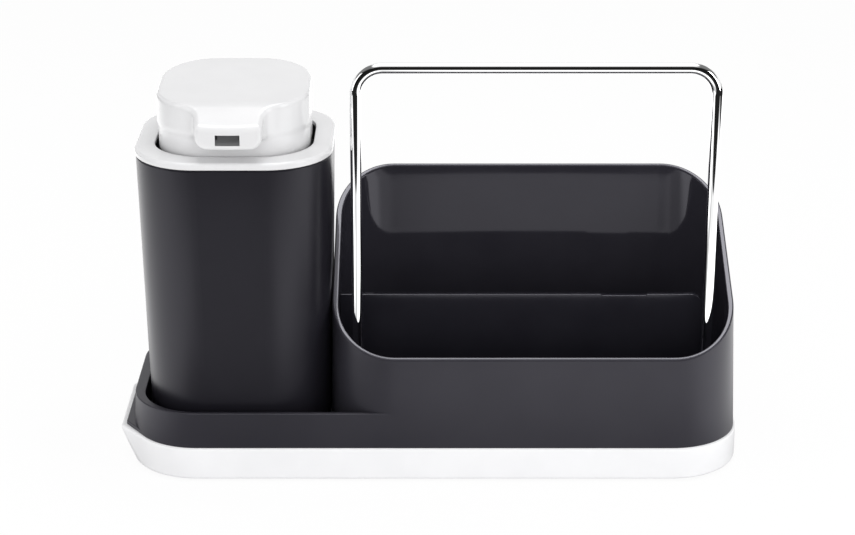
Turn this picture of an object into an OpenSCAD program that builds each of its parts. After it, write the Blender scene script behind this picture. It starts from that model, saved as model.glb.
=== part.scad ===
// Soap pump caddy: a basket and a dispenser bay in one moulded body that stands on a white
// drip tray with a pouring lip. A chrome rail spans the basket, a divider plate stands in it,
// and a square bottle with a push-head pump stands in the bay.
// Millimetres. X runs along the caddy, Y from front to back, Z up. The origin is the middle
// of the overall outline on the surface that the caddy stands on.

/* [Caddy body] */
// Length of the body where it meets the tray
body_l = 251; // [230:1:290]
// Depth of the body where it meets the tray
body_w = 90; // [88:1:110]
// Radius of the body's upright corners
corner_r = 28; // [20:1:32]
// Lean of the front and end walls towards the top, in degrees; the back stands upright
draft = 2.4; // [0.5:0.1:3]
// Wall of the low bay along its front and back
bay_wall = 2.4; // [1.8:0.1:3.5]
// Wall of the low bay at the body's end
bay_end_wall = 4.6; // [3:0.1:5]
// Height of the bay's wall above the tray
bay_wall_h = 15; // [10:0.5:24]
// Thickness of the floor
floor_t = 2.4; // [1.6:0.1:4]
// Wall of the tall basket
basket_wall = 1.7; // [1.4:0.1:3]
// Height of the basket's front rim above the tray
rim_front_h = 37.3; // [25:0.5:60]
// Slope of the basket's rim from front to back, in degrees
rim_slope = 32; // [10:0.2:36]

/* [Drip tray] */
// Height of the tray's wall
tray_h = 13.7; // [10:0.1:20]
// Wall of the tray
tray_wall = 2.4; // [1.6:0.1:3]
// Floor of the tray
tray_floor = 2; // [1.4:0.1:3]
// How far the tray stands out beyond the body
tray_step = 0.9; // [0.4:0.1:1.4]
// How far the pouring lip reaches beyond the tray's end
spout_reach = 4.7; // [3:0.1:10]
// Width of the pouring lip
spout_w = 44.6; // [30:0.2:52]
// Diameter of a foot pad
pad_d = 12; // [8:0.5:18]
// How far the pads hold the tray above the surface
pad_stand = 0.8; // [0.5:0.1:2]

/* [Towel rail] */
// Diameter of the rod
rod_d = 4.4; // [3:0.1:6]
// Distance from the basket's end walls to the rail's legs
leg_inset = 12.4; // [9:0.1:25]
// How far the rail stands in front of the caddy's middle
rail_forward = 22; // [10:0.5:26]
// Height of the rail's top above the tray
rail_h = 156.7; // [120:0.1:190]
// Bend of the rail's corners, on the rod's centre line
rail_bend_r = 11; // [8:0.5:25]

/* [Divider] */
// Thickness of the divider plate
divider_t = 2.4; // [1.6:0.1:3]
// Height of the divider plate
divider_h = 50.6; // [25:0.1:60]
// How far the divider stands behind the rail, centre to centre
divider_behind = 15.6; // [8:0.1:18]
// Gap at the divider's free end, on the right
divider_end_gap = 12.2; // [6:0.1:30]

/* [Bottle] */
// Width and depth of the bottle at its top
bottle_top_w = 79.2; // [78.6:0.1:79.4]
// Width and depth of the bottle at its base
bottle_base_w = 75.2; // [70:0.1:75.4]
// Height of the bottle without its pump
bottle_h = 114.9; // [110:0.1:150]
// Wall of the bottle
bottle_wall = 2.2; // [1.6:0.1:2.3]
// Radius of the bottle's upright corners
bottle_r = 26; // [18:0.5:30]

/* [Pump] */
// Travel of the push head
press_travel = 5.2; // [2:0.1:5.4]
// How far the collar ring stands out beyond the bottle
collar_overhang = 0.4; // [0.1:0.1:1.5]
// Height of the collar ring
collar_h = 3.1; // [2.8:0.1:3.6]
// Width of the push head
head_w = 61.4; // [56:0.1:62]
// Depth of the push head
head_d = 60; // [56:0.1:61]
// Radius of the head's upright corners
head_r = 20; // [14:0.5:24]
// Height of the head's front edge above the collar
head_front_h = 20.5; // [19:0.1:30]
// Rise of the head's top towards the back, in degrees
head_slope = 3.4; // [0:0.1:6]
// Width of the spout on the head
nozzle_w = 25.9; // [18:0.1:32]
// How far the spout stands out from the head
nozzle_reach = 11.3; // [8:0.1:16]
// Bore of the pump cylinder
cylinder_bore = 14.4; // [12:0.1:16]
// Outer diameter of the dip tube
dip_d = 7; // [5:0.1:8]

/* [Hidden] */

// Smoothness of round shapes, and of the outlines that are hulled
$fn = 96;
hull_fn = 48;

// Overrun of every cut, and the thickness of a slab that a hull starts from
over = 1;
slab = 0.02;

// Clearances
seat_gap = 0.2;
slide_gap = 0.4;
run_gap = 0.05;
tight_gap = 0.02;

// Heights of the main levels
tray_z = pad_stand;
line_z = tray_z + tray_h;
floor_z = line_z + floor_t;
bay_top_z = line_z + bay_wall_h;

// Ends and faces of the body; the lip shifts it to keep the whole outline centred
body_x = spout_reach / 2;
x_left = body_x - body_l / 2;
x_right = body_x + body_l / 2;
y_front = -body_w / 2;
y_back = body_w / 2;

// The bottle's place in the bay, and the basket's left wall, which leans as the bottle does
bottle_left_gap = 2.3;
bottle_right_gap = 0.4;
bottle_x = x_left + bay_end_wall + bottle_left_gap + bottle_base_w / 2;
basket_x = bottle_x + bottle_base_w / 2 + bottle_right_gap;
basket_mid_x = (basket_x + x_right) / 2;
left_lean = (bottle_top_w - bottle_base_w) / 2 / bottle_h;

// Tray details
lip_round = 1.4;
lip_h = 1.4;
lip_show = 2.3;
tray_edge_r = 1.2;
pad_t = 1.6;
pad_inset = 26;

// Body details
wall_lean = tan(draft);
body_top_z = line_z + rim_front_h + body_w * tan(rim_slope) + over;
seam = 0.02;
bay_r = 23.6;
beak_t = 1.6;
lug_h = 2.2;
lug_t = 1.8;
lug_l = 12;
lug_inset = 36;
boss_d = 9;
boss_h = 12;
rib_t = 1.6;
rib_h = 2;
back_extra = 0.8;
drain_w = 3;
drain_l = 16;
drain_pitch = 24;
drain_count = 5;

// Rail details
leg_end_gap = 0.3;
rail_shift = -1;
rail_top_z = line_z + rail_h;

// Divider details
divider_round = 4.5;
divider_y = divider_behind - rail_forward;
divider_wall_gap = 0.4;
dip_w = 18.6;
dip_depth = 0.5;

// Bottle details
bottle_z = floor_z + seat_gap;
bottle_top_z = bottle_z + bottle_h;
bottle_floor = 2.6;
bottle_edge_r = 3;
bottle_lip_r = 0.8;
kick_depth = 1.2;
kick_rim = 5;

// Collar and deck
collar_w = bottle_top_w + 2 * collar_overhang;
collar_r = bottle_r + collar_overhang;
collar_z = bottle_top_z + seat_gap;
collar_top_z = collar_z + collar_h;
collar_edge_r = 1.2;
head_gap = 1.4;
open_w = head_w + 2 * head_gap;
open_d = head_d + 2 * head_gap;
open_r = head_r + head_gap;
deck_t = 1.4;
deck_ledge_in = 1.1;
deck_ledge_w = bottle_top_w - 2 * deck_ledge_in;
deck_ledge_r = bottle_r - deck_ledge_in;
deck_wall = 1.6;
plug_w = bottle_top_w - 2 * bottle_wall - 2 * slide_gap;
plug_r = bottle_r - bottle_wall - slide_gap;
plug_h = 7;
gasket_h = 2.4;
gasket_in = 1;
gasket_out = 0.2;
gasket_drop = 2.4;

// Push head; its skirt hangs into the deck's well, with room for the press
head_sink = 1.9;
head_skirt_z = collar_top_z - head_sink;
head_floor_gap = 1.1;
well_floor_z = head_skirt_z - press_travel - head_floor_gap;
head_front_z = collar_top_z + head_front_h;
head_mid_z = head_front_z + head_d / 2 * tan(head_slope);
head_wall = 2;
head_edge_r = 1.8;

// Spout of the head
nozzle_rest_gap = 0.3;
nozzle_bottom_z = collar_top_z + press_travel + nozzle_rest_gap;
nozzle_h = 9.8;
nozzle_top_z = nozzle_bottom_z + nozzle_h;
nozzle_corner_r = 5;
nozzle_front_y = -head_d / 2 - nozzle_reach;
slot_w = 9;
slot_h = 3.9;
slot_rise = 4.4;
slot_z = nozzle_bottom_z + slot_rise;
slot_depth = 2;

// Duct that carries the soap from the stem to the spout
duct_w = 12;
duct_h = 7.4;
duct_bore_w = 8;
duct_bore_h = 3.2;
duct_gap = 0.2;
duct_front_y = nozzle_front_y + slot_depth + duct_gap;
hub_d = 16;
hub_rise = 5.2;
hub_top_z = slot_z + hub_rise;
hub_z = slot_z - duct_h / 2;
lip_flap_t = 1.2;
lip_slit = 0.6;

// Stem, piston and valves
stem_d = 7.6;
stem_bore = 3.6;
stem_drop = 1.85;
stem_top_z = slot_z - stem_drop;
chamber_d = 5.4;
out_ball_d = 4;
deck_hole_gap = 0.15;
cap_d = 26;
cap_top_t = 1.9;
flange_d = 22;
flange_t = 1.5;
cylinder_wall = 1.3;
cylinder_od = cylinder_bore + 2 * cylinder_wall;
cylinder_l = 34;
cylinder_floor_t = 2;
cylinder_top_z = well_floor_z + flange_t;
cylinder_end_z = well_floor_z - cylinder_l;
piston_h = 6;
piston_foot_t = 1.6;
piston_foot_d = 10.4;
piston_depth = 19;
piston_z = cylinder_top_z - piston_depth;
neck_d = 11.2;
in_ball_d = 5.6;
cage_bore = 7;
cage_h = 5.6;
cage_lip_t = 0.7;
cage_lip_bore = 5.1;
inlet_bore = 4;
inlet_l = 3;
tube_socket = 8;
neck_top_z = cylinder_end_z + cylinder_floor_t;
seat_in_z = neck_top_z - cage_h - cage_lip_t;
tube_top_z = seat_in_z - inlet_l;
neck_end_z = tube_top_z - tube_socket;
dip_bore = 5;
dip_end_gap = 1.6;
dip_cut = 30;

// Return spring
spring_d = 13.6;
spring_wire = 0.9;
spring_turns = 4.5;
spring_z = well_floor_z + flange_t + tight_gap + cap_top_t;
ring_steps = 24;
ring_sides = 6;

// Rounded rectangle between four edges, with true arcs
module round_rect(x0, x1, y0, y1, r) {
    translate([x0 + r, y0]) square([x1 - x0 - 2 * r, y1 - y0]);
    translate([x0, y0 + r]) square([x1 - x0, y1 - y0 - 2 * r]);
    for (x = [x0 + r, x1 - r], y = [y0 + r, y1 - r]) translate([x, y]) circle(r);
}

// The same, centred on the bottle and pump axis
module pump_rect(w, d, r) {
    round_rect(bottle_x - w / 2, bottle_x + w / 2, -d / 2, d / 2, r);
}

// A thin slab of an outline at height z, for hulls
module slab_at(z) {
    translate([0, 0, z]) linear_extrude(slab) children();
}

// Outline of the whole body at height z, drawn in by inset
module body_outline(z, inset = 0) {
    k = (z - line_z) * wall_lean + inset;
    round_rect(x_left + k, x_right - k, y_front + k, y_back - inset, corner_r - k);
}

// Outline of the space inside the bay at height z
module bay_outline(z) {
    k = (z - line_z) * wall_lean;
    round_rect(x_left + k + bay_end_wall, basket_mid_x, y_front + k + bay_wall, y_back - bay_wall, bay_r - k);
}

// Outline of the basket at height z, drawn in by inset and by a further back at its back wall,
// let out by a seam at front and back
module basket_outline(z, inset = 0, spare = 0, back = 0) {
    k = (z - line_z) * wall_lean + inset;
    left = basket_x + (z - line_z) * left_lean + inset;
    round_rect(left, x_right - k + spare, y_front + k - spare, y_back - inset - back + spare,
        corner_r - k + spare);
}

// Corner of the tray: a round post with a rounded lower edge
module tray_post(r, z, h, edge) {
    bend = [for (a = [0:30:90]) [r - edge + edge * sin(a), edge - edge * cos(a)]];
    translate([0, 0, z]) rotate_extrude($fn = hull_fn) polygon(concat([[0, 0]], bend, [[r, h], [0, h]]));
}

// Full form of the tray, drawn in by inset, with a lip whose sides are tangent to its corners
module tray_form(z, inset, edge) {
    tip_x = x_left - tray_step - spout_reach + lip_round + inset;
    tip_y = spout_w / 2 - lip_round - inset / 2;
    r = corner_r + tray_step - inset;
    hull() {
        for (x = [x_left + corner_r, x_right - corner_r], y = [y_front + corner_r, y_back - corner_r])
            translate([x, y, 0]) tray_post(r, z, line_z - z, edge);
        for (s = [-1, 1]) translate([tip_x, s * tip_y, line_z - lip_h])
            cylinder(r = lip_round, h = lip_h, $fn = hull_fn);
    }
}

module drip_tray() {
    color("white") difference() {
        tray_form(tray_z, 0, tray_edge_r);
        translate([0, 0, over]) tray_form(tray_z + tray_floor - over, tray_wall, tray_edge_r);
        for (x = pad_xs(), y = pad_ys())
            translate([x, y, tray_z - over]) cylinder(d = pad_d + 2 * run_gap, h = over + pad_t - pad_stand);
    }
}

function pad_xs() = [x_left + pad_inset, x_right - pad_inset];
function pad_ys() = [y_front + pad_inset, y_back - pad_inset];

module foot_pads() {
    color("gainsboro") for (x = pad_xs(), y = pad_ys())
        translate([x, y, 0]) cylinder(d = pad_d, h = pad_t);
}

// The whole outer form of the body before the bay is cut down
module body_block() {
    hull() {
        slab_at(line_z) body_outline(line_z, $fn = hull_fn);
        slab_at(body_top_z) body_outline(body_top_z, $fn = hull_fn);
    }
}

module basket_block(inset, from_z, spare, back = 0) {
    hull() {
        slab_at(from_z) basket_outline(from_z, inset, spare, back, $fn = hull_fn);
        slab_at(body_top_z + over) basket_outline(body_top_z + over, inset, spare, $fn = hull_fn);
    }
}

// All that is cut away to leave the bay: the air above its wall and the space inside it
module bay_space() {
    difference() {
        union() {
            translate([x_left - over, y_front - over, bay_top_z])
                cube([basket_mid_x - x_left, body_w + 2 * over, body_top_z + over - bay_top_z]);
            hull() {
                slab_at(floor_z) bay_outline(floor_z, $fn = hull_fn);
                slab_at(bay_top_z + over) bay_outline(bay_top_z + over, $fn = hull_fn);
            }
        }
        basket_block(0, line_z - over, seam);
    }
}

// Everything above the slanting rim
module above_rim() {
    translate([x_left - over, y_front, line_z + rim_front_h]) rotate([rim_slope, 0, 0])
        translate([0, -body_w, 0]) cube([body_l + 2 * over, 3 * body_w, body_w]);
}

// Dark plate on the body's left end that covers the tray's lip, and shows only its outer edge
module beak() {
    tip_x = x_left - tray_step - spout_reach + lip_show + lip_round;
    tip_y = spout_w / 2 - lip_round - tray_step / 2;
    translate([0, 0, line_z]) linear_extrude(beak_t) difference() {
        hull() {
            for (s = [-1, 1]) {
                translate([x_left + corner_r, s * (body_w / 2 - corner_r)]) circle(corner_r, $fn = hull_fn);
                translate([tip_x, s * tip_y]) circle(lip_round, $fn = hull_fn);
            }
        }
        translate([x_left + bay_end_wall, y_front - over]) square([corner_r * 2, body_w + 2 * over]);
    }
}

// Lugs under the floor that hold the body in place inside the tray's wall
module tray_lugs() {
    drop = tray_wall - tray_step + slide_gap;
    for (x = [x_left + lug_inset, body_x, x_right - lug_inset], s = [-1, 1])
        translate([x - lug_l / 2, s * (y_back - drop - lug_t / 2) - lug_t / 2, line_z - lug_h])
            cube([lug_l, lug_t, lug_h + floor_t / 2]);
    translate([x_right - drop - lug_t, -lug_l / 2, line_z - lug_h]) cube([lug_t, lug_l, lug_h + floor_t / 2]);
}

// A round-ended slot through the floor, along Y
module drain(x, y) {
    translate([x, y, line_z - over]) {
        for (s = [-1, 1]) translate([0, s * (drain_l - drain_w) / 2, 0])
            cylinder(d = drain_w, h = floor_t + 2 * over);
        translate([-drain_w / 2, (drain_w - drain_l) / 2, 0])
            cube([drain_w, drain_l - drain_w, floor_t + 2 * over]);
    }
}

module drains() {
    row_y = body_w / 4;
    for (i = [0:drain_count - 1], s = [-1, 1])
        drain(basket_mid_x + (i - (drain_count - 1) / 2) * drain_pitch, s * row_y);
    for (i = [-1, 1], s = [-1, 1]) drain(bottle_x + i * drain_pitch / 2, s * row_y);
}

function leg_xs() = [basket_x + leg_inset + rail_shift, x_right - leg_inset + rail_shift];

// Two low ribs on the basket's floor that hold the divider's lower edge
module divider_ribs() {
    len = divider_right() - divider_left() - 2 * divider_round;
    off = divider_t / 2 + slide_gap;
    for (y = [divider_y - off - rib_t, divider_y + off])
        translate([divider_left() + divider_round, y, line_z + floor_t / 2])
            cube([len, rib_t, rib_h + floor_t / 2]);
}

module caddy_body() {
    color([0.24, 0.24, 0.26]) difference() {
        union() {
            difference() {
                body_block();
                bay_space();
                basket_block(basket_wall, floor_z, 0, back_extra);
                above_rim();
            }
            beak();
            tray_lugs();
            divider_ribs();
            for (x = leg_xs()) translate([x, -rail_forward, line_z + floor_t / 2])
                cylinder(d = boss_d, h = boss_h + floor_t / 2);
        }
        drains();
        for (x = leg_xs()) translate([x, -rail_forward, floor_z])
            cylinder(d = rod_d + 2 * run_gap, h = boss_h + over);
    }
}

// A straight round leg, two bends and the top bar, swept as one rod
module towel_rail() {
    foot_z = floor_z + leg_end_gap;
    bar_z = rail_top_z - rod_d / 2;
    xs = leg_xs();
    color("silver") translate([0, -rail_forward, 0]) union() {
        for (x = xs) translate([x, 0, foot_z])
            cylinder(d = rod_d, h = bar_z - rail_bend_r - foot_z);
        translate([xs[0] + rail_bend_r, 0, bar_z]) rotate([0, 90, 0])
            cylinder(d = rod_d, h = xs[1] - xs[0] - 2 * rail_bend_r);
        for (i = [0, 1]) translate([xs[i] + (1 - 2 * i) * rail_bend_r, 0, bar_z - rail_bend_r])
            rotate([90, 0, 0]) rotate([0, 0, 90 * (1 - i)]) rotate_extrude(angle = 90)
                translate([rail_bend_r, 0]) circle(d = rod_d);
    }
}

// Height of the slanting rim above the tray at the divider
function rim_at_divider() = rim_front_h + (body_w / 2 + divider_y) * tan(rim_slope);
function divider_left() = basket_x + basket_wall + rim_at_divider() * left_lean + divider_wall_gap;
function divider_right() = x_right - basket_wall - divider_end_gap;

// A flat plate: square against the left wall, round at its free top corner
module divider() {
    left = divider_left();
    right = divider_right();
    top = floor_z + divider_h;
    foot = floor_z + seat_gap;
    color([0.2, 0.2, 0.22]) translate([0, divider_y + divider_t / 2, 0]) rotate([90, 0, 0])
        linear_extrude(divider_t) difference() {
            union() {
                translate([left, foot]) square([right - divider_round - left, top - foot]);
                translate([right - divider_round - over, foot])
                    square([divider_round + over, top - divider_round - foot]);
                translate([right - divider_round, top - divider_round]) circle(divider_round);
            }
            translate([basket_mid_x + (right - left) / 4, top - dip_depth])
                translate([-dip_w / 2, 0]) square([dip_w, dip_depth + over]);
        }
}

// Outline of the bottle at height z above its base, drawn in by inset
module bottle_outline(z, inset = 0) {
    w = bottle_base_w + (bottle_top_w - bottle_base_w) * z / bottle_h - 2 * inset;
    pump_rect(w, w, bottle_r - inset);
}

module bottle() {
    color([0.22, 0.22, 0.24]) difference() {
        hull() {
            for (a = [0, 30, 60, 90])
                slab_at(bottle_z + bottle_edge_r * (1 - sin(a)))
                    bottle_outline(bottle_edge_r * (1 - sin(a)), bottle_edge_r * (1 - cos(a)), $fn = hull_fn);
            for (a = [0, 45, 90])
                slab_at(bottle_top_z - slab - bottle_lip_r * (1 - sin(a)))
                    bottle_outline(bottle_h - bottle_lip_r * (1 - sin(a)), bottle_lip_r * (1 - cos(a)),
                        $fn = hull_fn);
        }
        hull() {
            for (a = [0, 90])
                slab_at(bottle_z + bottle_floor + bottle_edge_r * (1 - sin(a)))
                    bottle_outline(bottle_floor + bottle_edge_r * (1 - sin(a)),
                        bottle_wall + bottle_edge_r * (1 - cos(a)), $fn = hull_fn);
            slab_at(bottle_top_z + over) bottle_outline(bottle_h + over, bottle_wall, $fn = hull_fn);
        }
        translate([0, 0, bottle_z - over]) linear_extrude(over + kick_depth)
            pump_rect(bottle_base_w - 2 * (bottle_edge_r + kick_rim),
                bottle_base_w - 2 * (bottle_edge_r + kick_rim), bottle_r - bottle_edge_r - kick_rim);
    }
}

module collar_ring() {
    color("white") difference() {
        hull() {
            slab_at(collar_z) pump_rect(collar_w, collar_w, collar_r, $fn = hull_fn);
            for (a = [0, 30, 60, 90])
                slab_at(collar_top_z - slab - collar_edge_r * (1 - sin(a)))
                    pump_rect(collar_w - 2 * collar_edge_r * (1 - cos(a)),
                        collar_w - 2 * collar_edge_r * (1 - cos(a)),
                        collar_r - collar_edge_r * (1 - cos(a)), $fn = hull_fn);
        }
        translate([0, 0, collar_z - over]) linear_extrude(collar_h + 2 * over)
            pump_rect(open_w, open_d, open_r);
        translate([0, 0, collar_z - over]) linear_extrude(over + deck_t + run_gap)
            pump_rect(deck_ledge_w + 2 * run_gap, deck_ledge_w + 2 * run_gap, deck_ledge_r + run_gap);
    }
}

// Dark carrier under the collar: a ledge on the bottle's rim, a plug in its mouth and a well
// that the head sinks into
module pump_deck() {
    well_w = open_w + 2 * deck_wall;
    well_d = open_d + 2 * deck_wall;
    well_r = open_r + deck_wall;
    color([0.12, 0.12, 0.13]) difference() {
        union() {
            translate([0, 0, collar_z]) linear_extrude(deck_t) pump_rect(deck_ledge_w, deck_ledge_w, deck_ledge_r);
            translate([0, 0, collar_z - plug_h]) linear_extrude(plug_h + deck_t / 2) difference() {
                pump_rect(plug_w, plug_w, plug_r);
                pump_rect(plug_w - 2 * deck_wall, plug_w - 2 * deck_wall, plug_r - deck_wall);
            }
            translate([0, 0, well_floor_z - deck_wall])
                linear_extrude(collar_z - well_floor_z + deck_wall + deck_t / 2) pump_rect(well_w, well_d, well_r);
        }
        translate([0, 0, well_floor_z]) linear_extrude(collar_top_z - well_floor_z)
            pump_rect(open_w, open_d, open_r);
        translate([bottle_x, 0, well_floor_z - deck_wall - over])
            cylinder(d = cylinder_od + 2 * deck_hole_gap, h = deck_wall + 2 * over);
        translate([0, 0, collar_z - gasket_drop - gasket_h]) linear_extrude(gasket_h) difference() {
            pump_rect(plug_w + 2 * over, plug_w + 2 * over, plug_r + over);
            pump_rect(plug_w - 2 * gasket_in, plug_w - 2 * gasket_in, plug_r - gasket_in);
        }
    }
}

module deck_gasket() {
    out_w = plug_w + 2 * gasket_out;
    in_w = plug_w - 2 * (gasket_in - tight_gap);
    color("lightgray") translate([0, 0, collar_z - gasket_drop - gasket_h + tight_gap])
        linear_extrude(gasket_h - 2 * tight_gap) difference() {
            pump_rect(out_w, out_w, plug_r + gasket_out);
            pump_rect(in_w, in_w, plug_r - gasket_in + tight_gap);
        }
}

// Pump cylinder: a flange on the deck, the bore, the ball's cage and the dip tube's socket
module pump_cylinder() {
    color("ivory") translate([bottle_x, 0, 0]) difference() {
        union() {
            translate([0, 0, well_floor_z]) cylinder(d = flange_d, h = flange_t);
            translate([0, 0, cylinder_end_z]) cylinder(d = cylinder_od, h = cylinder_l + flange_t / 2);
            translate([0, 0, neck_end_z]) cylinder(d = neck_d, h = cylinder_end_z - neck_end_z + cylinder_floor_t / 2);
        }
        translate([0, 0, neck_top_z]) cylinder(d = cylinder_bore, h = cylinder_l + flange_t + over);
        translate([0, 0, neck_top_z - cage_lip_t - over]) cylinder(d = cage_lip_bore, h = cage_lip_t + 2 * over);
        translate([0, 0, seat_in_z]) cylinder(d = cage_bore, h = cage_h);
        translate([0, 0, tube_top_z - over]) cylinder(d = inlet_bore, h = inlet_l + 2 * over);
        translate([0, 0, neck_end_z - over]) cylinder(d = dip_d + 2 * tight_gap, h = tube_socket + over);
    }
}

// Cap that clips over the cylinder's flange and guides the stem
module cylinder_cap() {
    pocket_h = flange_t + tight_gap;
    color("ivory") translate([bottle_x, 0, well_floor_z + tight_gap / 2]) difference() {
        cylinder(d = cap_d, h = pocket_h + cap_top_t);
        translate([0, 0, -over]) cylinder(d = flange_d + 2 * run_gap, h = pocket_h + over);
        translate([0, 0, -over]) cylinder(d = stem_d + 2 * run_gap, h = pocket_h + cap_top_t + 2 * over);
    }
}

// Height of a ball's centre when it sits on the edge of a round hole
function ball_rise(ball, hole) = sqrt(pow(ball / 2, 2) - pow(hole / 2, 2));

module inlet_ball() {
    color("silver") translate([bottle_x, 0, seat_in_z + ball_rise(in_ball_d, inlet_bore) + run_gap])
        sphere(d = in_ball_d);
}

module dip_tube() {
    foot_z = bottle_z + bottle_floor + dip_end_gap;
    color("whitesmoke") translate([bottle_x, 0, 0]) difference() {
        translate([0, 0, foot_z]) cylinder(d = dip_d, h = tube_top_z - tight_gap - foot_z);
        translate([0, 0, foot_z - over]) cylinder(d = dip_bore, h = tube_top_z - foot_z + 2 * over);
        translate([-dip_d / 2, 0, foot_z]) rotate([0, dip_cut, 0])
            translate([-dip_d, -dip_d, -2 * dip_d]) cube([3 * dip_d, 2 * dip_d, 2 * dip_d]);
    }
}

// Points of one ring round the wire at a share t of the coil's length
function coil_ring(t, lift) = let(
        turn = 360 * spring_turns * t,
        out = [cos(turn), sin(turn), 0],
        mid = out * (spring_d - spring_wire) / 2 + [0, 0, spring_wire / 2 + t * lift])
    [for (k = [0:ring_sides - 1])
        mid + spring_wire / 2 * (cos(360 * k / ring_sides) * out + [0, 0, sin(360 * k / ring_sides)])];

// Coil of round wire between the cylinder's cap and the duct's hub
module return_spring() {
    lift = hub_z - spring_z - spring_wire - 2 * run_gap;
    rings = round(spring_turns * ring_steps);
    points = [for (i = [0:rings]) each coil_ring(i / rings, lift)];
    sides = [for (i = [0:rings - 1], k = [0:ring_sides - 1]) let(
            a = i * ring_sides + k,
            b = i * ring_sides + (k + 1) % ring_sides)
        each [[a, b, b + ring_sides], [a, b + ring_sides, a + ring_sides]]];
    ends = [for (k = [1:ring_sides - 2]) each [[0, k + 1, k],
        [rings * ring_sides, rings * ring_sides + k, rings * ring_sides + k + 1]]];
    color("silver") translate([bottle_x, 0, spring_z + run_gap])
        polyhedron(points, concat(sides, ends));
}

// Outer form of the head without its spout, drawn in by inset
module head_form(bottom_z, inset, round_r) {
    hull() {
        slab_at(bottom_z) pump_rect(head_w - 2 * inset, head_d - 2 * inset, head_r - inset, $fn = hull_fn);
        for (a = [0, 30, 60, 90]) let(k = inset + round_r * (1 - cos(a)))
            translate([0, 0, head_mid_z - inset - slab - round_r * (1 - sin(a))]) rotate([head_slope, 0, 0])
                linear_extrude(slab) pump_rect(head_w - 2 * k, head_d - 2 * k, head_r - k, $fn = hull_fn);
    }
}

// Spout: a block with round lower corners under a top that curves down to its lip
module nozzle_form() {
    root_y = -head_d / 2 + head_wall / 2;
    top_z = head_front_z - head_edge_r / 2;
    run = root_y - nozzle_front_y;
    drop = top_z - nozzle_top_z;
    bow_r = (run * run + drop * drop) / (2 * drop);
    intersection() {
        translate([bottle_x - nozzle_w / 2, nozzle_front_y, nozzle_bottom_z])
            cube([nozzle_w, run, top_z - nozzle_bottom_z]);
        translate([bottle_x - nozzle_w / 2 - over, root_y, top_z - bow_r]) rotate([0, 90, 0])
            cylinder(r = bow_r, h = nozzle_w + 2 * over);
        translate([0, -head_d / 2 + head_wall, 0]) rotate([90, 0, 0])
            linear_extrude(nozzle_reach + head_wall + over)
                round_rect(bottle_x - nozzle_w / 2, bottle_x + nozzle_w / 2, nozzle_bottom_z,
                    top_z + nozzle_corner_r, nozzle_corner_r);
    }
}

module pump_head() {
    passage_w = duct_w + 2 * duct_gap;
    passage_h = duct_h + 2 * duct_gap;
    color("white") difference() {
        union() {
            head_form(head_skirt_z, 0, head_edge_r);
            nozzle_form();
        }
        head_form(head_skirt_z - over, head_wall, head_edge_r / 2);
        translate([bottle_x - passage_w / 2, nozzle_front_y + slot_depth, slot_z - passage_h / 2])
            cube([passage_w, nozzle_reach + head_wall + over, passage_h]);
        translate([bottle_x - slot_w / 2, nozzle_front_y - over, slot_z - slot_h / 2])
            cube([slot_w, slot_depth + 2 * over, slot_h]);
    }
}

// Dark duct inside the head, with a round hub over the stem
module spout_duct() {
    color([0.12, 0.12, 0.13]) difference() {
        union() {
            translate([bottle_x - duct_w / 2, duct_front_y, slot_z - duct_h / 2])
                cube([duct_w, -duct_front_y, duct_h]);
            translate([bottle_x, 0, hub_z]) cylinder(d = hub_d, h = hub_top_z - hub_z);
            translate([bottle_x, 0, hub_top_z - over])
                cylinder(d = duct_w, h = head_mid_z - head_wall - seat_gap - hub_top_z + over);
        }
        translate([bottle_x - duct_bore_w / 2, duct_front_y - over, slot_z - duct_bore_h / 2])
            cube([duct_bore_w, over - duct_front_y, duct_bore_h]);
        translate([bottle_x - duct_bore_w / 2 - duct_gap, duct_front_y - over, slot_z - duct_bore_h / 2 - duct_gap])
            cube([duct_bore_w + 2 * duct_gap, over + lip_flap_t, duct_bore_h + 2 * duct_gap]);
        translate([bottle_x, 0, stem_top_z]) cylinder(d = chamber_d, h = hub_top_z - over - stem_top_z);
        translate([bottle_x, 0, hub_z - over]) cylinder(d = stem_d + 2 * tight_gap, h = stem_top_z + over - hub_z);
    }
}

// Soft slit flap at the mouth of the duct
module outlet_lip() {
    color("dimgray") difference() {
        translate([bottle_x - duct_bore_w / 2 - duct_gap / 2, duct_front_y + tight_gap,
            slot_z - duct_bore_h / 2 - duct_gap / 2])
            cube([duct_bore_w + duct_gap, lip_flap_t - 2 * tight_gap, duct_bore_h + duct_gap]);
        translate([bottle_x - duct_bore_w / 3, duct_front_y - over, slot_z - lip_slit / 2])
            cube([2 * duct_bore_w / 3, lip_flap_t + 2 * over, lip_slit]);
    }
}

module piston_stem() {
    color("whitesmoke") translate([bottle_x, 0, 0]) difference() {
        union() {
            translate([0, 0, piston_z]) cylinder(d = stem_d, h = stem_top_z - tight_gap - piston_z);
            translate([0, 0, piston_z - piston_foot_t]) cylinder(d = piston_foot_d, h = piston_foot_t);
        }
        translate([0, 0, piston_z - piston_foot_t - over])
            cylinder(d = stem_bore, h = stem_top_z - piston_z + piston_foot_t + 2 * over);
    }
}

// Cup seal on the stem's foot, with a lip at each end and a waist between
module piston_cup() {
    waist = 0.9;
    lip_h = 1.4;
    color("tomato") translate([bottle_x, 0, piston_z + tight_gap]) difference() {
        cylinder(d = cylinder_bore - 2 * run_gap, h = piston_h);
        translate([0, 0, -over]) cylinder(d = stem_d + 2 * tight_gap, h = piston_h + 2 * over);
        translate([0, 0, lip_h]) difference() {
            cylinder(d = cylinder_bore + over, h = piston_h - 2 * lip_h);
            translate([0, 0, -over]) cylinder(d = cylinder_bore - 2 * waist, h = piston_h + over);
        }
    }
}

module outlet_ball() {
    color("silver") translate([bottle_x, 0, stem_top_z + ball_rise(out_ball_d, stem_bore) + run_gap])
        sphere(d = out_ball_d);
}

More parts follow.
